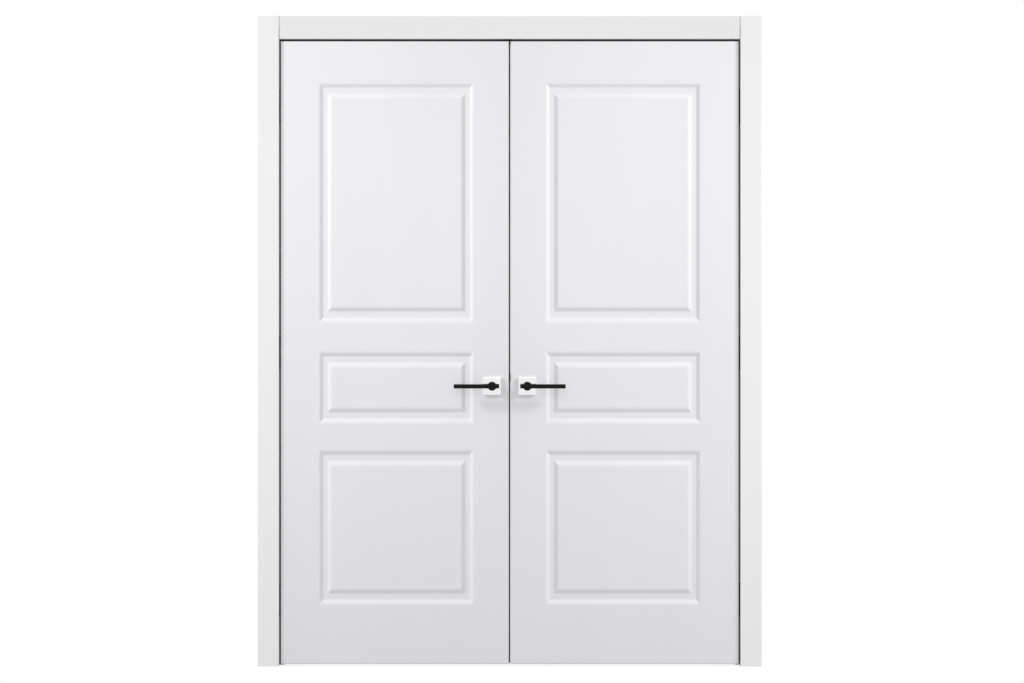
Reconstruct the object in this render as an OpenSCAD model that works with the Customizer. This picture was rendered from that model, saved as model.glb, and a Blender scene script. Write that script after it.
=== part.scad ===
// Interior double door: two flush-hung leaves with raised panels, in a lined frame with flat casings.
// Front is -Y, +X is right, +Z is up. The origin is the bottom centre of the whole object's box.

/* [Leaves] */
// Width of one leaf
leaf_w = 744.5; // [600:0.5:920]
// Height of a leaf
leaf_h = 2032; // [1900:1:2440]
// Thickness of a leaf
leaf_t = 40; // [40:1:50]
// Rounding of a leaf's upright edges
leaf_edge_r = 3; // [1:0.5:4]
// Gap between a leaf and its side jamb
side_gap = 5; // [4:0.5:8]
// Gap between the leaves and the head jamb
head_gap = 7; // [3:0.5:12]
// Gap between the two leaves
meeting_gap = 5; // [3:0.5:6]
// Gap under the leaves
floor_gap = 6; // [3:0.5:20]

/* [Panels] */
// Width of the flat stile at a leaf's hinge edge
hinge_stile_w = 123; // [100:1:150]
// Width of the flat stile at a leaf's meeting edge
meeting_stile_w = 113; // [100:1:150]
// Height of the flat top rail
top_rail_h = 133; // [90:1:200]
// Height of the upper panel
upper_panel_h = 787; // [500:1:820]
// Height of the rail under the upper panel
upper_rail_h = 90; // [60:1:140]
// Height of the middle panel
middle_panel_h = 239; // [150:1:300]
// Height of the rail under the middle panel
lower_rail_h = 82; // [60:1:140]
// Height of the flat bottom rail
bottom_rail_h = 192; // [120:1:260]
// Width of the curved fall from the flat into a panel's groove
fall_w = 21; // [12:1:28]
// Width of the flat bottom of the groove
fillet_w = 14; // [6:1:20]
// Width of the curved rise to the raised field
rise_w = 22; // [12:1:28]
// Share of the width of a fall or rise that lies above its steepest point
slope_skew = 0.63; // [0.5:0.01:0.75]
// Depth of the groove
groove_depth = 6.5; // [3:0.5:8]
// Width of the groove on its upright runs, as a share of its width on the level ones
upright_share = 0.8; // [0.6:0.02:1]

/* [Frame] */
// Thickness of a jamb
jamb_t = 40; // [38:1:50]
// Depth of a jamb, through the wall
jamb_depth = 116; // [106:1:180]
// Distance that a stop stands into the opening
stop_t = 14; // [10:1:20]
// Depth of a stop, along the jamb
stop_w = 40; // [25:1:42]
// Thickness of the seal between a stop and a leaf
seal_t = 3.5; // [2:0.5:6]
// Distance that the seal reaches behind a leaf
seal_lap = 6; // [3:0.5:8]
// Width of a side casing
casing_w = 70; // [50:1:100]
// Thickness of a side casing
casing_t = 10; // [8:1:14]
// Height of the head casing
head_casing_h = 75; // [50:1:120]
// Thickness of the head casing
head_casing_t = 6; // [5:0.5:14]
// Seam between the head casing and each side casing
casing_seam = 0.8; // [0:0.1:2]
// Rounding of the casings' front edges
casing_edge_r = 2; // [1:0.5:4]
// Radius of a wall fixing hole in a jamb
fixing_r = 3; // [2:0.5:4]
// Distance of the fixing holes from a jamb's ends
fixing_end = 300; // [150:10:600]

/* [Hinges] */
// Distance of the hinge pivots behind the leaf's front face
pivot_depth = 9; // [8.5:0.5:9.5]
// Distance of the hinge pivots from the edges that face each other
pivot_inset = 22; // [21:0.5:24]
// Diameter of a hinge pin
pin_d = 5; // [4:0.5:5.5]
// Radius of an arm's eye
eye_r = 4; // [3.8:0.1:4.2]
// Thickness of an arm's bridge
arm_t = 6; // [4:0.5:6]
// Height of an arm
arm_h = 42; // [30:1:60]
// Height of a hinge cup
cup_h = 110; // [100:1:140]
// Wall of a hinge cup
cup_wall = 1.5; // [1:0.5:2]
// Distance of the outer hinges' centres from the leaf's ends
hinge_end = 210; // [180:5:300]

/* [Lever handles] */
// Distance of the lever's axis from the leaf's meeting edge
backset = 55; // [50:1:58]
// Height of the lever's axis above the leaf's bottom edge
lever_z = 907; // [860:1:1000]
// Side of the square rosette
rosette_w = 57; // [52:1:60]
// Thickness of the rosette
rosette_t = 9; // [8:0.5:11]
// Diameter of the lever's neck
neck_d = 28; // [20:1:28]
// Diameter of the lever's bar
bar_d = 14; // [10:1:18]
// Length of the bar from the axis to its grip end
bar_grip = 124; // [100:1:140]
// Length of the bar from the axis to its short end
bar_tail = 23; // [16:1:26]
// Distance of the bar's axis from the leaf's face
bar_reach = 50; // [44:1:60]
// Distance that the neck stands past the bar
neck_lip = 3; // [1:0.5:5]
// Diameter of the grub screw under the neck
grub_d = 5; // [4:0.5:6]

/* [Latch and bolts] */
// Width of the square spindle
spindle_w = 8; // [7:0.5:9]
// Throw of the latch past its faceplate
latch_throw = 14; // [12:0.5:15]
// Height of the latch's head
latch_h = 24; // [18:1:28]
// Thickness of the latch's head
latch_t = 12; // [9:0.5:13]
// Thickness of the lock case
case_t = 17; // [16.5:0.5:18]
// Depth of the lock case, from the faceplate
case_depth = 92; // [88:1:96]
// Width of a faceplate
plate_w = 20; // [18:1:24]
// Thickness of a faceplate
plate_t = 3; // [2:0.5:4]
// Diameter of a flush bolt's rod
rod_d = 10; // [8:0.5:12]
// Length of a flush bolt's rod
rod_l = 150; // [130:5:200]
// Travel of a flush bolt
rod_travel = 20; // [15:1:22]

/* [Hidden] */
$fn = 48;

// Overlap of a cutting shape past the face that it cuts
past = 1;
// Clearance round a piece that is let into another
fit = 0.1;
// Clearance round a turning or sliding piece
running = 0.05;
// Clearance of a soft seal from the leaf that it faces
seal_clear = 0.5;

opening_w = 2 * (leaf_w + side_gap) + meeting_gap;
leaf_top = floor_gap + leaf_h;
opening_h = leaf_top + head_gap;
casing_top = opening_h + head_casing_h;
lever_projection = bar_reach + bar_d / 2 + neck_lip;
// The leaves' and jambs' front plane, set so that the origin is in the middle of the whole depth
face_y = (lever_projection - jamb_depth - casing_t) / 2;
back_y = face_y + jamb_depth;
leaf_back_y = face_y + leaf_t;
leaf_mid_y = face_y + leaf_t / 2;
stop_y = leaf_back_y + seal_clear + seal_t;
leaf_edge_x = meeting_gap / 2;
hinge_edge_x = leaf_edge_x + leaf_w;
jamb_x = opening_w / 2;
fixing_y = (stop_y + stop_w + back_y) / 2;

panel_w = leaf_w - hinge_stile_w - meeting_stile_w;
lower_panel_h = leaf_h - top_rail_h - upper_panel_h - upper_rail_h - middle_panel_h - lower_rail_h
    - bottom_rail_h;
lower_panel_z = floor_gap + bottom_rail_h;
middle_panel_z = lower_panel_z + lower_panel_h + lower_rail_h;
upper_panel_z = middle_panel_z + middle_panel_h + upper_rail_h;
groove_w = fall_w + fillet_w + rise_w;
arc_steps = 6;

hinge_zs = [floor_gap + hinge_end, floor_gap + leaf_h / 2, leaf_top - hinge_end];
eye_clear = 1;
cavity_front = pivot_depth - eye_r - eye_clear;
bridge_in = 16.5;
cavity_back = pivot_depth + bridge_in + arm_t + 1.5;
cavity_depth = pivot_inset + eye_r + eye_clear;
cavity_h = arm_h + 2 * eye_clear;
cup_depth = cavity_depth + 2 * cup_wall;
cup_front = cavity_front - cup_wall;
cup_back = cavity_back + cup_wall;
pin_r = pin_d / 2;
pin_hold = 12;
pin_l = cavity_h + 2 * pin_hold;
// Half length, half width and depth of a screw's cross recess, as shares of its head's radius
drive_reach = 0.62;
drive_half = 0.17;
drive_depth = 0.38;
hinge_screw_r = 2.2;
hinge_screw_head_r = 4.4;
hinge_screw_l = cup_depth + 6;
hinge_screw_z = (cavity_h / 2 + cup_h / 2) / 2 + 4;
hinge_screw_y = (cup_front + cup_back) / 2 + 6;

lever_x = leaf_edge_x + backset;
axis_z = floor_gap + lever_z;
neck_r = neck_d / 2;
bar_r = bar_d / 2;
rosette_wall = 1.5;
base_w = rosette_w - 2 * rosette_wall - 1;
base_t = rosette_t - rosette_wall - 0.5;
rosette_screw_r = 2;
rosette_screw_head_r = 3.8;
rosette_screw_spacing = 38;
neck_start = 1;
spindle_hold = 24;
grub_y = (rosette_t + spindle_hold) / 2;
grub_sink = 1;
grub_drive_r = grub_d * 0.28;
grub_drive_depth = 2.5;

latch_drop = 28;
latch_z = axis_z + latch_drop;
latch_body = 26;
tail_h = 5.5;
tail_t = 5;
tail_z = axis_z + latch_drop - tail_h / 2 + 2;
arm_reach = 24;
follower_arm_w = 6;
follower_r = 9.5;
follower_t = case_t - 4;
hook_play = 1.5;
hook_x = backset + follower_arm_w / 2 + hook_play;
hook_w = 5;
case_wall = 1.5;
case_end_x = leaf_edge_x + plate_t + case_depth;
case_low = 45;
case_high = 56;
faceplate_h = 180;
faceplate_z = axis_z + (case_high - case_low) / 2;
faceplate_screw_z = faceplate_h / 2 - 12;
keeper_h = 110;
keeper_pocket = latch_throw;
keeper_screw_z = keeper_h / 2 - 12;
plate_screw_r = 1.9;
plate_screw_head_r = 3.6;
plate_screw_l = 22;
spindle_hole_r = spindle_w * 0.9;

rod_r = rod_d / 2;
rod_inset = 14;
rod_x = leaf_edge_x + rod_inset;
bolt_plate_h = 120;
bolt_plate_end = 25;
bolt_plate_mid = bolt_plate_end + bolt_plate_h / 2;
bolt_screw_z = bolt_plate_h / 2 - 10;
bolt_screw_l = rod_inset - rod_r - 1;
thumb_h = 18;
thumb_t = 8;
thumb_recess = 1;
slot_h = thumb_h + rod_travel + 4;
keeper_hole_r = rod_r + 1;
meeting_seal_w = 4;
meeting_seal_root = 3;
meeting_seal_lip = meeting_gap - 1;
meeting_seal_y = leaf_mid_y + (plate_w + leaf_t) / 4;
bolt_socket = rod_travel - head_gap + 8;
head_keeper_half = plate_w * 1.2;

// Points of an arc that starts level and steepens, over one part of the width and the depth of a slope
function swell(w, d) = let(half = 2 * atan2(d, w), r = w / sin(half))
    [for (i = [0:arc_steps]) let(a = half * i / arc_steps) [r * sin(a), -r * (1 - cos(a))]];

// Points of an S-shaped fall of that width and depth, level at both ends
function fall(w, d) = let(
    top = swell(w * slope_skew, d * slope_skew),
    foot = swell(w * (1 - slope_skew), d * (1 - slope_skew))
)
    concat(top, [for (i = [arc_steps - 1:-1:0]) [w - foot[i][0], -d - foot[i][1]]]);

// Points of the groove's section, from the flat outside it to the raised field
function groove_section() = let(rise = fall(rise_w, groove_depth))
    concat(fall(fall_w, groove_depth), [for (i = [len(rise) - 1:-1:0]) [groove_w - rise[i][0], rise[i][1]]]);

// Copies what it holds to the other side of the middle plane
module on_right() {
    mirror([1, 0, 0]) children();
}

// An upright bar with a rectangular section whose four edges are rounded
module upright(low, high, z0, z1, r) {
    translate([0, 0, z0]) linear_extrude(z1 - z0) rounded(low, high, r);
}

// A rectangle with rounded corners, drawn as circles and squares
module rounded(low, high, r) {
    for (x = [low[0] + r, high[0] - r], y = [low[1] + r, high[1] - r]) translate([x, y]) circle(r);
    translate([low[0] + r, low[1]]) square([high[0] - low[0] - 2 * r, high[1] - low[1]]);
    translate([low[0], low[1] + r]) square([high[0] - low[0], high[1] - low[1] - 2 * r]);
}

// A box between two corners
module block(low, high) {
    translate(low) cube(high - low);
}

// A cylinder along Y from y0 to y1
module along_y(x, z, r, y0, y1) {
    translate([x, y0, z]) rotate([-90, 0, 0]) cylinder(r = r, h = y1 - y0);
}

// A cylinder along X from x0 to x1
module along_x(y, z, r, x0, x1) {
    translate([x0, y, z]) rotate([0, 90, 0]) cylinder(r = r, h = x1 - x0);
}

// A countersunk screw that enters along +X with its head level with the face at x
module screw_along_x(x, y, z, r, head_r, length) {
    along_x(y, z, r, x, x + length);
    translate([x, y, z]) rotate([0, 90, 0]) cylinder(r1 = head_r, r2 = r, h = head_r - r);
}

// The same screw with a cross recess in its head
module crossed_screw_along_x(x, y, z, r, head_r, length) {
    reach = head_r * drive_reach;
    half = head_r * drive_half;
    depth = head_r * drive_depth;
    difference() {
        screw_along_x(x, y, z, r, head_r, length);
        block([x - past, y - reach, z - half], [x + depth, y + reach, z + half]);
        block([x - past, y - half, z - reach], [x + depth, y + half, z + reach]);
    }
}

// One run of a panel's groove, along +X from its outer corner, with ends mitred to runs of another width
module groove_run(length, share, next_share) {
    w = groove_w * share;
    next_w = groove_w * next_share;
    intersection() {
        rotate([90, 0, 90]) linear_extrude(length) scale([share, 1])
            polygon(concat(groove_section(), [[groove_w, past], [0, past]]));
        translate([0, 0, -groove_depth - past]) linear_extrude(groove_depth + 3 * past)
            polygon([[0, 0], [length, 0], [length - next_w, w], [next_w, w]]);
    }
}

// The groove round one panel, cut into the plane z = 0, with its lower left corner at the origin
module groove(w, h) {
    groove_run(w, 1, upright_share);
    translate([w, 0, 0]) rotate([0, 0, 90]) groove_run(h, upright_share, 1);
    translate([w, h, 0]) rotate([0, 0, 180]) groove_run(w, 1, upright_share);
    translate([0, h, 0]) rotate([0, 0, 270]) groove_run(h, upright_share, 1);
}

// The three grooves of one face, for a leaf's front face
module panel_grooves() {
    for (p = [
        [lower_panel_z, lower_panel_h],
        [middle_panel_z, middle_panel_h],
        [upper_panel_z, upper_panel_h]
    ])
        translate([0, 0, p[0]]) rotate([90, 0, 0]) groove(panel_w, p[1]);
}

// A bare right leaf with the grooves of both faces
module leaf_blank() {
    difference() {
        intersection() {
            upright([leaf_edge_x, face_y], [hinge_edge_x, leaf_back_y], floor_gap, leaf_top, leaf_edge_r);
            translate([leaf_edge_x - past, 0, 0]) rotate([90, 0, 90]) linear_extrude(leaf_w + 2 * past)
                rounded([face_y, floor_gap], [leaf_back_y, leaf_top], leaf_edge_r);
        }
        translate([leaf_edge_x + meeting_stile_w, face_y, 0]) panel_grooves();
        translate([leaf_edge_x + meeting_stile_w, leaf_back_y, 0]) mirror([0, 1, 0]) panel_grooves();
    }
}

// Places what it holds at each of the right leaf's hinges, with x from the hinge edge into the leaf
module at_leaf_hinges() {
    for (z = hinge_zs) translate([hinge_edge_x, face_y, z]) mirror([1, 0, 0]) children();
}

// Places what it holds at each hinge of the right jamb, with x from the jamb's face into the jamb
module at_jamb_hinges() {
    for (z = hinge_zs) translate([jamb_x, face_y, z]) children();
}

// The block that a hinge cup fills
module cup_block(clear) {
    block([-past, cup_front - clear, -cup_h / 2 - clear],
        [cup_depth + clear, cup_back + clear, cup_h / 2 + clear]);
}

module hinge_pin() {
    translate([pivot_inset, pivot_depth, -pin_l / 2]) cylinder(r = pin_r, h = pin_l);
}

// The holes for a hinge cup's two screws
module hinge_screw_holes() {
    for (z = [-hinge_screw_z, hinge_screw_z])
        screw_along_x(0, hinge_screw_y, z, hinge_screw_r, hinge_screw_head_r, hinge_screw_l);
}

module hinge_screws() {
    for (z = [-hinge_screw_z, hinge_screw_z])
        crossed_screw_along_x(0, hinge_screw_y, z, hinge_screw_r, hinge_screw_head_r, hinge_screw_l);
}

// A hinge cup, open towards the gap, with the arm's cavity, the pin's seat and the screw holes
module hinge_cup() {
    difference() {
        block([0, cup_front, -cup_h / 2], [cup_depth, cup_back, cup_h / 2]);
        block([-past, cavity_front, -cavity_h / 2], [cavity_depth, cavity_back, cavity_h / 2]);
        hinge_pin();
        hinge_screw_holes();
    }
}

// An arm in plan: an eye at each pivot, a leg back from each eye, and a bridge between the legs
module arm_plan() {
    span = 2 * pivot_inset + side_gap;
    difference() {
        union() {
            for (x = [0, span]) {
                translate([x, 0]) circle(eye_r);
                translate([x - eye_r, 0]) square([2 * eye_r, bridge_in + arm_t]);
            }
            translate([-eye_r, bridge_in]) square([span + 2 * eye_r, arm_t]);
        }
        for (x = [0, span]) translate([x, 0]) circle(pin_r + running);
    }
}

module hinge_arms() {
    for (z = hinge_zs)
        translate([hinge_edge_x - pivot_inset, face_y + pivot_depth, z - arm_h / 2])
            linear_extrude(arm_h) arm_plan();
}

// What the hinges need cut from the right leaf
module leaf_hinge_cuts() {
    at_leaf_hinges() {
        cup_block(fit);
        hinge_screw_holes();
    }
}

// What a lever set needs drilled through the right leaf
module lever_cuts() {
    along_y(lever_x, axis_z, spindle_hole_r, face_y - past, leaf_back_y + past);
    rosette_screw_holes(face_y - past, leaf_back_y + past);
}

module rosette_screw_holes(y0, y1) {
    for (x = [-rosette_screw_spacing / 2, rosette_screw_spacing / 2])
        along_y(lever_x + x, axis_z, rosette_screw_r + fit, y0, y1);
}

module right_jamb() {
    color("whitesmoke") difference() {
        block([jamb_x, face_y, 0], [jamb_x + jamb_t, back_y, opening_h]);
        at_jamb_hinges() {
            cup_block(fit);
            hinge_screw_holes();
        }
        for (z = [fixing_end, opening_h - fixing_end])
            along_x(fixing_y, z, fixing_r, jamb_x - past, jamb_x + jamb_t + past);
    }
}

module left_jamb() {
    on_right() right_jamb();
}

module head_jamb() {
    color("whitesmoke") difference() {
        block([-jamb_x - jamb_t, face_y, opening_h], [jamb_x + jamb_t, back_y, opening_h + jamb_t]);
        translate([-rod_x, leaf_mid_y, opening_h - past]) cylinder(r = keeper_hole_r, h = bolt_socket + past);
        keeper_plate_block(fit);
    }
}

module keeper_plate_block(clear) {
    half = plate_w / 2 + clear;
    length = head_keeper_half + clear;
    block([-rod_x - length, leaf_mid_y - half, opening_h - past * (clear > 0 ? 1 : 0)],
        [-rod_x + length, leaf_mid_y + half, opening_h + plate_t + clear]);
}

module head_bolt_keeper() {
    color("black") difference() {
        keeper_plate_block(0);
        translate([-rod_x, leaf_mid_y, opening_h - past]) cylinder(r = keeper_hole_r, h = plate_t + 2 * past);
    }
}

module right_stop() {
    color("whitesmoke") block([jamb_x - stop_t, stop_y, 0], [jamb_x, stop_y + stop_w, opening_h]);
}

module left_stop() {
    on_right() right_stop();
}

module head_stop() {
    color("whitesmoke")
        block([-jamb_x + stop_t, stop_y, opening_h - stop_t], [jamb_x - stop_t, stop_y + stop_w, opening_h]);
}

// The seals lie on the stops' front faces and fill what shows through the gaps round the leaves
module stop_seals() {
    side_w = min(side_gap + seal_lap, stop_t);
    head_h = min(head_gap + seal_lap, stop_t);
    color("black") {
        for (side = [0, 1]) mirror([side, 0, 0])
            block([jamb_x - side_w, stop_y - seal_t, 0], [jamb_x, stop_y, opening_h]);
        block([-jamb_x + side_w, stop_y - seal_t, opening_h - head_h],
            [jamb_x - side_w, stop_y, opening_h]);
    }
}

// A side casing's section: both edges of its show face are rounded
module casing_section(w, t) {
    rounded([0, 0], [w, t + casing_edge_r], casing_edge_r);
}

module front_right_casing() {
    color("whitesmoke") translate([jamb_x, face_y - casing_t, 0]) linear_extrude(casing_top) intersection() {
        casing_section(casing_w, casing_t);
        square([casing_w, casing_t]);
    }
}

module front_left_casing() {
    on_right() front_right_casing();
}

module front_head_casing() {
    end_x = jamb_x - casing_seam;
    color("whitesmoke") intersection() {
        translate([-end_x, face_y - head_casing_t, opening_h]) rotate([90, 0, 90]) linear_extrude(2 * end_x)
            head_casing_section();
        upright([-end_x, face_y - head_casing_t], [end_x, face_y + casing_edge_r], opening_h, casing_top,
            casing_edge_r);
        block([-end_x, face_y - head_casing_t, opening_h], [end_x, face_y, casing_top]);
    }
}

module head_casing_section() {
    rounded([0, 0], [head_casing_t + casing_edge_r, head_casing_h], casing_edge_r);
}

// Turns what it holds from the front of the frame to its back
module at_back() {
    translate([0, face_y + back_y, 0]) mirror([0, 1, 0]) children();
}

module back_right_casing() {
    at_back() front_right_casing();
}

module back_left_casing() {
    at_back() front_left_casing();
}

module back_head_casing() {
    at_back() front_head_casing();
}

module right_frame_hinge_cups() {
    color("dimgray") at_jamb_hinges() hinge_cup();
}

module left_frame_hinge_cups() {
    on_right() right_frame_hinge_cups();
}

module right_frame_hinge_pins() {
    color("dimgray") at_jamb_hinges() hinge_pin();
}

module left_frame_hinge_pins() {
    on_right() right_frame_hinge_pins();
}

module frame_hinge_screws() {
    color("dimgray") for (side = [0, 1]) mirror([side, 0, 0]) at_jamb_hinges() hinge_screws();
}

module right_hinge_arms() {
    color("dimgray") hinge_arms();
}

module left_hinge_arms() {
    on_right() right_hinge_arms();
}

module right_leaf_hinge_cups() {
    color("dimgray") at_leaf_hinges() hinge_cup();
}

module left_leaf_hinge_cups() {
    on_right() right_leaf_hinge_cups();
}

module right_leaf_hinge_pins() {
    color("dimgray") at_leaf_hinges() hinge_pin();
}

module left_leaf_hinge_pins() {
    on_right() right_leaf_hinge_pins();
}

module right_leaf_hinge_screws() {
    color("dimgray") at_leaf_hinges() hinge_screws();
}

module left_leaf_hinge_screws() {
    on_right() right_leaf_hinge_screws();
}

// The active leaf, with the lock's mortise
module right_leaf() {
    color("white") difference() {
        leaf_blank();
        leaf_hinge_cuts();
        lever_cuts();
        lock_case_block(fit);
        faceplate_block(faceplate_z, faceplate_h, fit, past);
        plate_screw_holes(faceplate_z, faceplate_screw_z, plate_screw_l);
    }
}

// A plate let into the right leaf's meeting edge
module faceplate_block(z, h, clear, out) {
    block([leaf_edge_x - out, leaf_mid_y - plate_w / 2 - clear, z - h / 2 - clear],
        [leaf_edge_x + plate_t + clear, leaf_mid_y + plate_w / 2 + clear, z + h / 2 + clear]);
}

// The holes for two screws through such a plate, at the same distance above and below its middle
module plate_screw_holes(z, dz, length) {
    for (side = [-dz, dz])
        screw_along_x(leaf_edge_x, leaf_mid_y, z + side, plate_screw_r, plate_screw_head_r, length);
}

module plate_screws(z, dz, length) {
    for (side = [-dz, dz])
        crossed_screw_along_x(leaf_edge_x, leaf_mid_y, z + side, plate_screw_r, plate_screw_head_r, length);
}

module lock_case_block(clear) {
    block([leaf_edge_x + plate_t, leaf_mid_y - case_t / 2 - clear, axis_z - case_low - clear],
        [case_end_x + clear, leaf_mid_y + case_t / 2 + clear, axis_z + case_high + clear]);
}

module lock_case() {
    half_t = case_t / 2 - case_wall;
    low = [leaf_edge_x + plate_t + case_wall, leaf_mid_y - half_t, axis_z - case_low + case_wall];
    high = [case_end_x - case_wall, leaf_mid_y + half_t, axis_z + case_high - case_wall];
    color("silver") difference() {
        lock_case_block(0);
        block(low, high);
        along_y(lever_x, axis_z, follower_r - 1, leaf_mid_y - case_t, leaf_mid_y + case_t);
        rosette_screw_holes(leaf_mid_y - case_t, leaf_mid_y + case_t);
        latch_head(fit * 3);
    }
}

module lock_faceplate() {
    color("black") difference() {
        faceplate_block(faceplate_z, faceplate_h, 0, 0);
        latch_head(fit * 3);
        plate_screw_holes(faceplate_z, faceplate_screw_z, plate_screw_l);
    }
}

module lock_faceplate_screws() {
    color("black") plate_screws(faceplate_z, faceplate_screw_z, plate_screw_l);
}

module latch_head(clear) {
    half = [latch_t / 2 + clear, latch_h / 2 + clear];
    block([leaf_edge_x - latch_throw - clear, leaf_mid_y - half[0], latch_z - half[1]],
        [leaf_edge_x + latch_body + clear, leaf_mid_y + half[0], latch_z + half[1]]);
}

// The latch: a head with a slanted back, a tail over the follower and a hook that the follower's arm pulls
module latch_bolt() {
    slant = latch_t - 3;
    slant_l = latch_throw - 1;
    color("silver") {
        difference() {
            latch_head(0);
            translate([leaf_edge_x - latch_throw, leaf_mid_y + latch_t / 2, latch_z - latch_h / 2 - past])
                linear_extrude(latch_h + 2 * past)
                    polygon([[-past, past], [slant_l, past], [slant_l, 0], [0, -slant], [-past, -slant]]);
        }
        block([leaf_edge_x + latch_body, leaf_mid_y - tail_t / 2, tail_z],
            [leaf_edge_x + hook_x + hook_w, leaf_mid_y + tail_t / 2, tail_z + tail_h]);
        block([leaf_edge_x + hook_x, leaf_mid_y - tail_t / 2, axis_z + arm_reach - 8],
            [leaf_edge_x + hook_x + hook_w, leaf_mid_y + tail_t / 2, tail_z + tail_h]);
    }
}

// The follower: a hub with a square hole and an arm that stands up to the latch's hook
module lock_follower() {
    color("silver") difference() {
        union() {
            along_y(lever_x, axis_z, follower_r, leaf_mid_y - follower_t / 2, leaf_mid_y + follower_t / 2);
            block([lever_x - follower_arm_w / 2, leaf_mid_y - tail_t / 2, axis_z],
                [lever_x + follower_arm_w / 2, leaf_mid_y + tail_t / 2, axis_z + arm_reach]);
        }
        spindle_block(fit, leaf_t);
    }
}

// A square bar on the lever's axis that reaches the same distance each way from the leaf's middle
module spindle_block(clear, reach) {
    half = spindle_w / 2 + clear;
    block([lever_x - half, leaf_mid_y - reach, axis_z - half],
        [lever_x + half, leaf_mid_y + reach, axis_z + half]);
}

module right_spindle() {
    color("silver") spindle_block(0, leaf_t / 2 + spindle_hold);
}

module left_spindle() {
    on_right() right_spindle();
}

// The lever on the front of the right leaf: a round neck with a round bar across its end
module right_front_lever() {
    bar_y = face_y - bar_reach;
    color("black") difference() {
        union() {
            along_y(lever_x, axis_z, neck_r, face_y - lever_projection, face_y - neck_start);
            along_x(bar_y, axis_z, bar_r, lever_x - bar_tail, lever_x + bar_grip);
        }
        spindle_block(fit, leaf_t / 2 + spindle_hold + fit);
        translate([lever_x, face_y - grub_y, axis_z - neck_d]) cylinder(d = grub_d, h = neck_d);
    }
}

// The screw under the front lever's neck that grips the spindle, with a six-sided recess
module grub_screw() {
    low = neck_r - grub_sink;
    translate([lever_x, face_y - grub_y, axis_z - low]) difference() {
        cylinder(d = grub_d, h = low - spindle_w / 2);
        translate([0, 0, -past]) linear_extrude(grub_drive_depth + past) circle(grub_drive_r, $fn = 6);
    }
}

module right_grub_screws() {
    color("black") {
        grub_screw();
        at_leaf_back() grub_screw();
    }
}

module left_grub_screws() {
    on_right() right_grub_screws();
}

// Turns what it holds from a leaf's front to its back
module at_leaf_back() {
    translate([0, face_y + leaf_back_y, 0]) mirror([0, 1, 0]) children();
}

module right_back_lever() {
    at_leaf_back() right_front_lever();
}

module left_front_lever() {
    on_right() right_front_lever();
}

module left_back_lever() {
    on_right() right_back_lever();
}

// A square cover, hollow at the back, with a round hole for the neck
module right_front_rosette() {
    half = rosette_w / 2;
    hollow = half - rosette_wall;
    color("gainsboro") difference() {
        block([lever_x - half, face_y - rosette_t, axis_z - half], [lever_x + half, face_y, axis_z + half]);
        block([lever_x - hollow, face_y - rosette_t + rosette_wall, axis_z - hollow],
            [lever_x + hollow, face_y + past, axis_z + hollow]);
        along_y(lever_x, axis_z, neck_r + fit, face_y - rosette_t - past, face_y);
    }
}

module right_back_rosette() {
    at_leaf_back() right_front_rosette();
}

module left_front_rosette() {
    on_right() right_front_rosette();
}

module left_back_rosette() {
    on_right() right_back_rosette();
}

// The plate under a rosette, screwed to the leaf, with the neck's bearing
module rosette_base() {
    half = base_w / 2;
    difference() {
        block([lever_x - half, face_y - base_t, axis_z - half], [lever_x + half, face_y, axis_z + half]);
        along_y(lever_x, axis_z, neck_r + running, face_y - rosette_t, face_y + past);
        rosette_screws();
    }
}

// The two long screws that clamp the front and back bases through the leaf
module rosette_screws() {
    for (x = [-rosette_screw_spacing / 2, rosette_screw_spacing / 2]) {
        along_y(lever_x + x, axis_z, rosette_screw_r, face_y - base_t, leaf_back_y + base_t);
        along_y(lever_x + x, axis_z, rosette_screw_head_r, face_y - base_t, face_y - base_t / 2);
        along_y(lever_x + x, axis_z, rosette_screw_head_r, leaf_back_y + base_t / 2,
            leaf_back_y + base_t);
    }
}

module right_rosette_bases() {
    color("dimgray") {
        rosette_base();
        at_leaf_back() rosette_base();
    }
}

module left_rosette_bases() {
    on_right() right_rosette_bases();
}

module right_rosette_screws() {
    color("dimgray") rosette_screws();
}

module left_rosette_screws() {
    on_right() right_rosette_screws();
}

// The inactive leaf, with the latch's keeper and the two flush bolts let into its meeting edge
module left_leaf() {
    color("white") on_right() difference() {
        leaf_blank();
        leaf_hinge_cuts();
        lever_cuts();
        faceplate_block(latch_z, keeper_h, fit, past);
        keeper_pocket_block();
        plate_screw_holes(latch_z, keeper_screw_z, plate_screw_l);
        for (top = [0, 1]) at_bolt(top) bolt_cuts();
        meeting_seal_groove();
    }
}

module keeper_pocket_block() {
    clear = 3;
    block([leaf_edge_x - past, leaf_mid_y - latch_t / 2 - clear, latch_z - latch_h / 2 - clear],
        [leaf_edge_x + keeper_pocket, leaf_mid_y + latch_t / 2 + clear, latch_z + latch_h / 2 + clear]);
}

module latch_keeper() {
    color("black") on_right() difference() {
        faceplate_block(latch_z, keeper_h, 0, 0);
        keeper_pocket_block();
        plate_screw_holes(latch_z, keeper_screw_z, plate_screw_l);
    }
}

module latch_keeper_screws() {
    color("black") on_right() plate_screws(latch_z, keeper_screw_z, plate_screw_l);
}

// Places what it holds at the leaf's top or bottom end, with z measured back from that end
module at_bolt(top) {
    if (top == 1) translate([0, 0, leaf_top]) mirror([0, 0, 1]) children();
    else translate([0, 0, floor_gap]) children();
}

// A flush bolt's rod with the thumb piece that slides it
module bolt_rod() {
    translate([rod_x, leaf_mid_y, past]) cylinder(r = rod_r, h = rod_l);
    block([leaf_edge_x + thumb_recess, leaf_mid_y - thumb_t / 2, bolt_plate_mid],
        [rod_x, leaf_mid_y + thumb_t / 2, bolt_plate_mid + thumb_h]);
}

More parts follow.
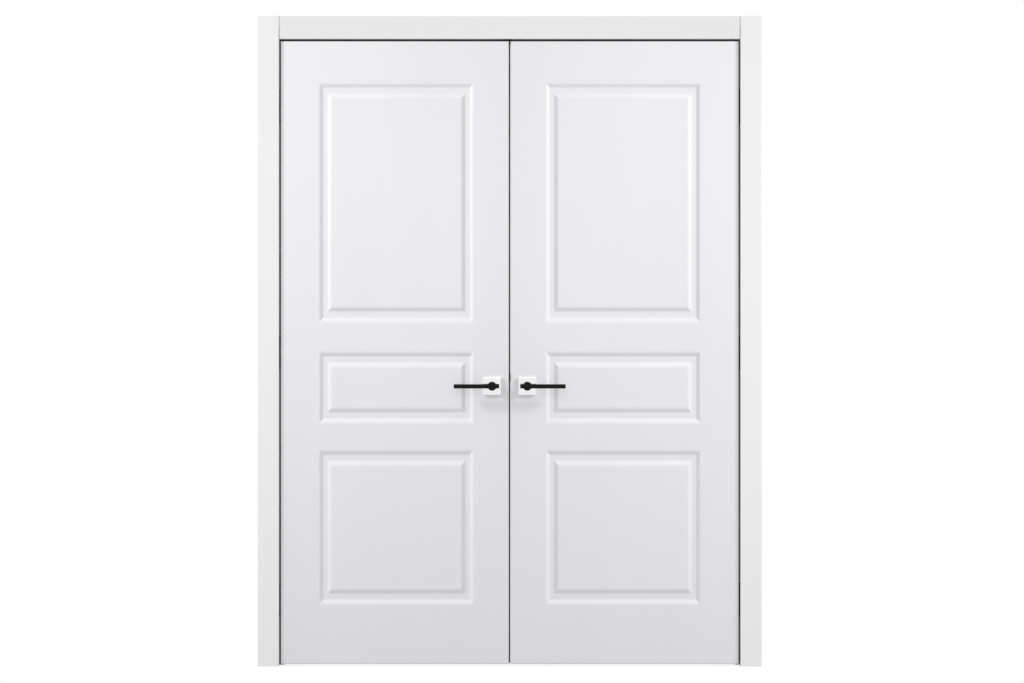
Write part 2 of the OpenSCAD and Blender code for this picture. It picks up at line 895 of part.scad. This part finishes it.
module bolt_cuts() {
    translate([rod_x, leaf_mid_y, -past]) cylinder(r = rod_r + running, h = rod_l + 4);
    faceplate_block(bolt_plate_mid, bolt_plate_h, fit, past);
    thumb_slot(fit);
    plate_screw_holes(bolt_plate_mid, bolt_screw_z, bolt_screw_l);
}

// The slot in which the thumb piece travels
module thumb_slot(clear) {
    half = thumb_t / 2 + 0.3 + clear;
    z1 = bolt_plate_mid + thumb_h + 2;
    block([leaf_edge_x - past, leaf_mid_y - half, z1 - slot_h], [rod_x, leaf_mid_y + half, z1]);
}

module bolt_plate() {
    difference() {
        faceplate_block(bolt_plate_mid, bolt_plate_h, 0, 0);
        thumb_slot(0);
        plate_screw_holes(bolt_plate_mid, bolt_screw_z, bolt_screw_l);
    }
}

module top_bolt_plate() {
    color("black") on_right() at_bolt(1) bolt_plate();
}

module bottom_bolt_plate() {
    color("black") on_right() at_bolt(0) bolt_plate();
}

module bolt_plate_screws() {
    color("black") on_right() for (top = [0, 1]) at_bolt(top)
        plate_screws(bolt_plate_mid, bolt_screw_z, bolt_screw_l);
}

module top_bolt() {
    color("silver") on_right() at_bolt(1) bolt_rod();
}

module bottom_bolt() {
    color("silver") on_right() at_bolt(0) bolt_rod();
}

module meeting_seal_groove() {
    block([leaf_edge_x - past, meeting_seal_y - meeting_seal_w / 2 - fit, floor_gap - past],
        [leaf_edge_x + meeting_seal_root + fit, meeting_seal_y + meeting_seal_w / 2 + fit, leaf_top + past]);
}

// The seal in the left leaf's meeting edge, behind the plates, which closes most of the gap
module meeting_seal() {
    color("black") on_right()
        block([leaf_edge_x - meeting_seal_lip, meeting_seal_y - meeting_seal_w / 2, floor_gap],
            [leaf_edge_x + meeting_seal_root, meeting_seal_y + meeting_seal_w / 2, leaf_top]);
}

left_jamb();
right_jamb();
head_jamb();
left_stop();
right_stop();
head_stop();
stop_seals();
front_left_casing();
front_right_casing();
front_head_casing();
back_left_casing();
back_right_casing();
back_head_casing();
left_frame_hinge_cups();
right_frame_hinge_cups();
left_frame_hinge_pins();
right_frame_hinge_pins();
frame_hinge_screws();
head_bolt_keeper();
left_hinge_arms();
right_hinge_arms();
left_leaf();
left_leaf_hinge_cups();
left_leaf_hinge_pins();
left_leaf_hinge_screws();
meeting_seal();
latch_keeper();
latch_keeper_screws();
top_bolt_plate();
bottom_bolt_plate();
bolt_plate_screws();
top_bolt();
bottom_bolt();
left_front_rosette();
left_back_rosette();
left_rosette_bases();
left_rosette_screws();
left_front_lever();
left_back_lever();
left_grub_screws();
left_spindle();
right_leaf();
right_leaf_hinge_cups();
right_leaf_hinge_pins();
right_leaf_hinge_screws();
lock_case();
lock_faceplate();
lock_faceplate_screws();
latch_bolt();
right_front_rosette();
right_back_rosette();
right_rosette_bases();
right_rosette_screws();
right_front_lever();
right_back_lever();
right_grub_screws();
right_spindle();
lock_follower();
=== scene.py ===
import math

import bpy
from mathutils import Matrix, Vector


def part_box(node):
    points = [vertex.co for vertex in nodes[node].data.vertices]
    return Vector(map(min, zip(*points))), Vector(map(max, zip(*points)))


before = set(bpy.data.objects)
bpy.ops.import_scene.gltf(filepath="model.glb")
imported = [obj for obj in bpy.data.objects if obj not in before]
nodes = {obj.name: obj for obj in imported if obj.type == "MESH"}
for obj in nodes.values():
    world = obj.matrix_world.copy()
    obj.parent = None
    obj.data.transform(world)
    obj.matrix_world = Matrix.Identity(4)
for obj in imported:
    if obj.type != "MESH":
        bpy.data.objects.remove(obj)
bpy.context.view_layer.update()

scene = bpy.context.scene
scene.view_settings.view_transform = "Standard"

# Lengths are in metres where the name gives no other unit

# Front and back planes of the leaves
FACE_Y, BACK_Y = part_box("left_leaf")[0][1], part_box("left_leaf")[1][1]

# The camera, and the photograph's scale and middle
LENS_MM, SENSOR_MM, WIDTH_PX = 100.0, 36.0, 1024
M_PER_PX = 0.003262
CENTRE_X, CENTRE_Z = 0.0075, 1.0585
SIGHT_END = 100.0

# Eased edges
LEVER_EASE, ROSETTE_EASE = 0.0009, 0.0007
EASE_STEPS = 3
EASE_FROM_DEG = 40.0
WELD_REACH = 0.000002

# The floor and the world
FLOOR_SIZE, FLOOR_Z = 60.0, -0.0005
FLOOR_GREY = (0.72, 0.72, 0.73)
SHADOW_TONE, SHADOW_REACH, SHADOW_SAMPLES = (0.85, 0.85, 0.86), 0.12, 8
SHADOW_STOPS = (0.0, 0.6)
WHITE = (1.0, 1.0, 1.0)
SKY, SKY_STRENGTH = (0.99, 0.99, 1.0), 0.76

# How a grain is drawn out along an axis
EVEN = (1.0, 1.0, 1.0)
UP, ACROSS = (1.0, 1.0, 0.25), (0.25, 1.0, 1.0)
LEVER_GRAIN, PLATE_GRAIN, HINGE_GRAIN = (0.1, 1.0, 1.0), (1.0, 1.0, 0.1), (1.0, 1.0, 0.06)
ZINC_GRAIN, SEAL_GRAIN = (1.0, 0.06, 1.0), (1.0, 1.0, 0.02)

# Parts of names: the two halves of the door, the frame's members and the black plates
LEFT = ("left", "front_left", "back_left")
RIGHT = ("right", "front_right", "back_right")
POSTS = ("_casing", "_jamb", "_stop")
BLACK_PLATES = {
    "latch_keeper", "latch_keeper_screws", "latch_bolt", "head_bolt_keeper",
    "top_bolt_plate", "bottom_bolt_plate", "bolt_plate_screws",
    "lock_faceplate", "lock_faceplate_screws",
}


# Materials

def new_material(name, colour, rough, metallic=0.0, **sockets):
    """A material with a Principled shader whose plain values sit on its own sockets."""
    m = bpy.data.materials.new(name)
    m.use_nodes = True
    p = m.node_tree.nodes["Principled BSDF"]
    p.inputs["Base Color"].default_value = (*colour, 1.0)
    p.inputs["Roughness"].default_value = rough
    p.inputs["Metallic"].default_value = metallic
    for key, value in sockets.items():
        p.inputs[key.replace("_", " ")].default_value = value
    return m, p


def node(m, kind, **values):
    """A new shader node, with each value set on the socket or the property of that name."""
    n = m.node_tree.nodes.new(kind)
    for key, value in values.items():
        if key in n.inputs:
            n.inputs[key].default_value = value
        else:
            setattr(n, key, value)
    return n


def link(m, a, b):
    m.node_tree.links.new(a, b)


def coords(m, stretch=EVEN):
    """Object coordinates in metres, stretched along an axis for a brushed or rolled finish."""
    c = node(m, "ShaderNodeTexCoord")
    v = node(m, "ShaderNodeMapping", Scale=stretch)
    link(m, c.outputs["Object"], v.inputs["Vector"])
    return v.outputs["Vector"]


def noise(m, vector, scale, detail=3.0, rough=0.5):
    n = node(m, "ShaderNodeTexNoise", Scale=scale, Detail=detail, Roughness=rough)
    link(m, vector, n.inputs["Vector"])
    return n.outputs["Fac"]


def ramp(m, fac, low, high, stops=(0.3, 0.7)):
    """A colour that goes from low to high between the two stops."""
    r = node(m, "ShaderNodeValToRGB")
    for element, stop, colour in zip(r.color_ramp.elements, stops, (low, high)):
        element.position = stop
        element.color = (*colour, 1.0)
    link(m, fac, r.inputs["Fac"])
    return r.outputs["Color"]


def between(m, fac, low, high):
    """A number that goes from low to high."""
    r = node(m, "ShaderNodeMapRange")
    r.inputs["To Min"].default_value = low
    r.inputs["To Max"].default_value = high
    link(m, fac, r.inputs["Value"])
    return r.outputs["Result"]


def bump(m, p, height, distance, strength, before=None):
    """A bump on the shader's normal, on top of an earlier one where that is given."""
    b = node(m, "ShaderNodeBump", Distance=distance, Strength=strength)
    link(m, height, b.inputs["Height"])
    if before is not None:
        link(m, before, b.inputs["Normal"])
    link(m, b.outputs["Normal"], p.inputs["Normal"])
    return b.outputs["Normal"]


def satin_paint(name, low, high, stretch):
    """Sprayed white satin paint: fine orange peel, faint drift in tone and gloss."""
    m, p = new_material(name, high, rough=0.4, Coat_Weight=0.12, Coat_Roughness=0.3)
    even = coords(m)
    drawn = coords(m, stretch)
    drift = noise(m, drawn, scale=2.2, detail=4.0, rough=0.55)
    gloss = noise(m, even, scale=38.0)
    waves = noise(m, drawn, scale=14.0, detail=2.0)
    peel = noise(m, even, scale=620.0, detail=2.0)
    link(m, ramp(m, drift, low, high), p.inputs["Base Color"])
    link(m, between(m, gloss, low=0.34, high=0.5), p.inputs["Roughness"])
    slow = bump(m, p, waves, distance=0.0006, strength=0.05)
    bump(m, p, peel, distance=0.00012, strength=0.22, before=slow)
    return m


def lacquer(name, tone, stretch, lighter=1.9):
    """Satin dark coating with a fine powder grain and a faint brushed drift."""
    m, p = new_material(name, tone, rough=0.42, Specular_IOR_Level=0.1)
    even = coords(m)
    drift = noise(m, coords(m, stretch), scale=70.0, detail=4.0)
    gloss = noise(m, even, scale=240.0)
    powder = noise(m, even, scale=1900.0, detail=2.0)
    light = tuple(c * lighter for c in tone)
    link(m, ramp(m, drift, tone, light), p.inputs["Base Color"])
    link(m, between(m, gloss, low=0.3, high=0.5), p.inputs["Roughness"])
    bump(m, p, powder, distance=0.00006, strength=0.3)
    return m


def metal(name, low, high, rough, stretch, grain, depth):
    """Bare or plated metal: a directional grain in tone and bump, and a drift in gloss."""
    m, p = new_material(name, high, rough=rough[0], metallic=1.0)
    lines = noise(m, coords(m, stretch), scale=grain, detail=5.0, rough=0.6)
    gloss = noise(m, coords(m), scale=55.0, detail=4.0)
    link(m, ramp(m, lines, low, high), p.inputs["Base Color"])
    link(m, between(m, gloss, *rough), p.inputs["Roughness"])
    bump(m, p, lines, distance=depth, strength=0.2)
    return m


def rubber(name, low, plain, high):
    """Extruded black rubber: dull, with faint lines along its length and a dusty bloom."""
    m, p = new_material(name, plain, rough=0.75)
    even = coords(m)
    bloom = noise(m, even, scale=90.0, detail=4.0)
    gloss = noise(m, even, scale=300.0, detail=2.0)
    lines = noise(m, coords(m, SEAL_GRAIN), scale=1500.0, detail=2.0)
    link(m, ramp(m, bloom, low, high), p.inputs["Base Color"])
    link(m, between(m, gloss, low=0.62, high=0.85), p.inputs["Roughness"])
    bump(m, p, lines, distance=0.0001, strength=0.4)
    return m


leaf_paint = satin_paint("leaf_paint", (0.80, 0.80, 0.815), (0.835, 0.835, 0.85), UP)
post_paint = satin_paint("post_paint", (0.835, 0.835, 0.83), (0.865, 0.865, 0.86), UP)
head_paint = satin_paint("head_paint", (0.81, 0.81, 0.812), (0.84, 0.84, 0.842), ACROSS)
lever_black = lacquer("lever_black", (0.0045, 0.0040, 0.0038), LEVER_GRAIN)
plate_black = lacquer("plate_black", (0.008, 0.008, 0.008), PLATE_GRAIN)
hinge_grey = lacquer("hinge_grey", (0.105, 0.105, 0.107), HINGE_GRAIN)
chrome = metal(
    "polished_chrome", low=(0.80, 0.805, 0.82), high=(0.90, 0.90, 0.91),
    rough=(0.04, 0.10), stretch=EVEN, grain=30.0, depth=0.00001,
)
zinc = metal(
    "bright_zinc", low=(0.46, 0.46, 0.45), high=(0.66, 0.66, 0.66),
    rough=(0.25, 0.4), stretch=ZINC_GRAIN, grain=300.0, depth=0.00003,
)
seal_rubber = rubber(
    "seal_rubber", low=(0.008, 0.008, 0.009), plain=(0.012, 0.012, 0.013),
    high=(0.024, 0.024, 0.025),
)


def material_for(name):
    if name in ("left_leaf", "right_leaf"):
        return leaf_paint
    if "seal" in name:
        return seal_rubber
    if name in BLACK_PLATES:
        return plate_black
    if name.endswith(("_lever", "_grub_screws")):
        return lever_black
    if name.endswith("_rosette"):
        return chrome
    if "hinge" in name:
        return hinge_grey
    if name.startswith("head_") or "_head_" in name:
        return head_paint
    if name.endswith(POSTS):
        return post_paint
    return zinc


for name, obj in nodes.items():
    obj.data.materials.clear()
    obj.data.materials.append(material_for(name))


# Eased edges on what is handled and seen

def ease(name, width):
    obj = nodes[name]
    weld = obj.modifiers.new("weld", "WELD")
    weld.merge_threshold = WELD_REACH
    bevel = obj.modifiers.new("ease", "BEVEL")
    bevel.width = width
    bevel.segments = EASE_STEPS
    bevel.limit_method = "ANGLE"
    bevel.angle_limit = math.radians(EASE_FROM_DEG)


for side in ("left", "right"):
    for face in ("front", "back"):
        ease(f"{side}_{face}_rosette", ROSETTE_EASE)
        ease(f"{side}_{face}_lever", LEVER_EASE)


# Camera: straight on, at the distance that gives the photograph's scale on the leaves' front

def aim(obj, at):
    obj.rotation_euler = (Vector(at) - obj.location).to_track_quat("-Z", "Y").to_euler()


cam = bpy.data.objects.new("camera", bpy.data.cameras.new("camera"))
scene.collection.objects.link(cam)
scene.camera = cam
cam.data.sensor_width = SENSOR_MM
cam.data.lens = LENS_MM
distance = LENS_MM / SENSOR_MM * WIDTH_PX * M_PER_PX
cam.location = (CENTRE_X, FACE_Y - distance, CENTRE_Z)
aim(cam, (CENTRE_X, FACE_Y, CENTRE_Z))
cam.data.clip_end = SIGHT_END


# Stage: a white floor with a soft contact shadow, and a white world

def seen(m):
    """1 for camera, glossy and transmission rays, which see the white background."""
    rays = node(m, "ShaderNodeLightPath")
    a = node(m, "ShaderNodeMath", operation="MAXIMUM")
    b = node(m, "ShaderNodeMath", operation="MAXIMUM")
    link(m, rays.outputs["Is Camera Ray"], a.inputs[0])
    link(m, rays.outputs["Is Glossy Ray"], a.inputs[1])
    link(m, a.outputs[0], b.inputs[0])
    link(m, rays.outputs["Is Transmission Ray"], b.inputs[1])
    return b.outputs[0]


def two_faced(m, lit, shown, out):
    """One shader for the light that falls on the door, another for the rays that see it."""
    mix = node(m, "ShaderNodeMixShader")
    link(m, seen(m), mix.inputs["Fac"])
    link(m, lit.outputs[0], mix.inputs[1])
    link(m, shown.outputs[0], mix.inputs[2])
    link(m, mix.outputs[0], out.inputs["Surface"])


bpy.ops.mesh.primitive_plane_add(size=FLOOR_SIZE, location=(0.0, 0.0, FLOOR_Z))
floor = bpy.context.object
floor.name = "floor"
floor_white = bpy.data.materials.new("floor_white")
floor_white.use_nodes = True
floor_white.node_tree.nodes.clear()
floor_lit = node(floor_white, "ShaderNodeBsdfDiffuse", Color=(*FLOOR_GREY, 1.0))
floor_shown = node(floor_white, "ShaderNodeEmission", Strength=1.0)
contact = node(
    floor_white, "ShaderNodeAmbientOcclusion", samples=SHADOW_SAMPLES, Distance=SHADOW_REACH,
)
shadow = ramp(floor_white, contact.outputs["AO"], SHADOW_TONE, WHITE, SHADOW_STOPS)
link(floor_white, shadow, floor_shown.inputs["Color"])
floor_out = node(floor_white, "ShaderNodeOutputMaterial")
two_faced(floor_white, floor_lit, floor_shown, floor_out)
floor.data.materials.append(floor_white)

world = bpy.data.worlds.new("world")
scene.world = world
world.use_nodes = True
world.node_tree.nodes.clear()
sky_lit = node(world, "ShaderNodeBackground", Color=(*SKY, 1.0), Strength=SKY_STRENGTH)
sky_shown = node(world, "ShaderNodeBackground", Color=(*WHITE, 1.0), Strength=1.0)
sky_out = node(world, "ShaderNodeOutputWorld")
two_faced(world, sky_lit, sky_shown, sky_out)


# Lamps: at each side one for its leaf and one for its posts, two for the head and the middle,
# and a weak fill in front and one lamp behind for everything

def lamp(name, receivers, at, towards, width, watts, beam_deg=180.0):
    """A round lamp that lights only its receivers."""
    data = bpy.data.lights.new(name, "AREA")
    data.shape = "DISK"
    data.size = width
    data.energy = watts
    data.spread = math.radians(beam_deg)
    obj = bpy.data.objects.new(name, data)
    scene.collection.objects.link(obj)
    obj.location = at
    aim(obj, towards)
    group = bpy.data.collections.new(name + "_lights")
    for r in receivers:
        group.objects.link(r)
    obj.light_linking.receiver_collection = group


def half(starts, posts):
    """One side's posts, or else what hangs on them."""
    return [o for n, o in nodes.items() if n.startswith(starts) and n.endswith(POSTS) == posts]


everything = list(nodes.values())
middle = [o for n, o in nodes.items() if not n.startswith(LEFT + RIGHT)]
for side, sign, starts in (("left", -1.0, LEFT), ("right", 1.0, RIGHT)):
    lamp(
        f"{side}_lamp", half(starts, posts=False), at=(sign * 3.85, FACE_Y - 1.9, 3.4),
        towards=(sign * 0.5, FACE_Y, 1.2), width=0.9, watts=25.1, beam_deg=90.0,
    )
    lamp(
        f"{side}_post_lamp", half(starts, posts=True), at=(sign * 3.85, FACE_Y - 1.9, 1.8),
        towards=(sign * 0.8, FACE_Y, 1.3), width=0.9, watts=65.0,
    )
    lamp(
        f"head_{side}_lamp", middle, at=(sign * 2.2, FACE_Y - 1.6, 3.2),
        towards=(sign * 0.4, FACE_Y, 2.1), width=0.9, watts=14.5,
    )
lamp(
    "fill_lamp", everything, at=(0.0, FACE_Y - 2.4, 1.7),
    towards=(0.0, FACE_Y, 1.4), width=1.4, watts=7.0,
)
lamp(
    "back_lamp", everything, at=(0.0, BACK_Y + 2.4, 3.6),
    towards=(0.0, BACK_Y, 1.2), width=1.4, watts=40.0,
)
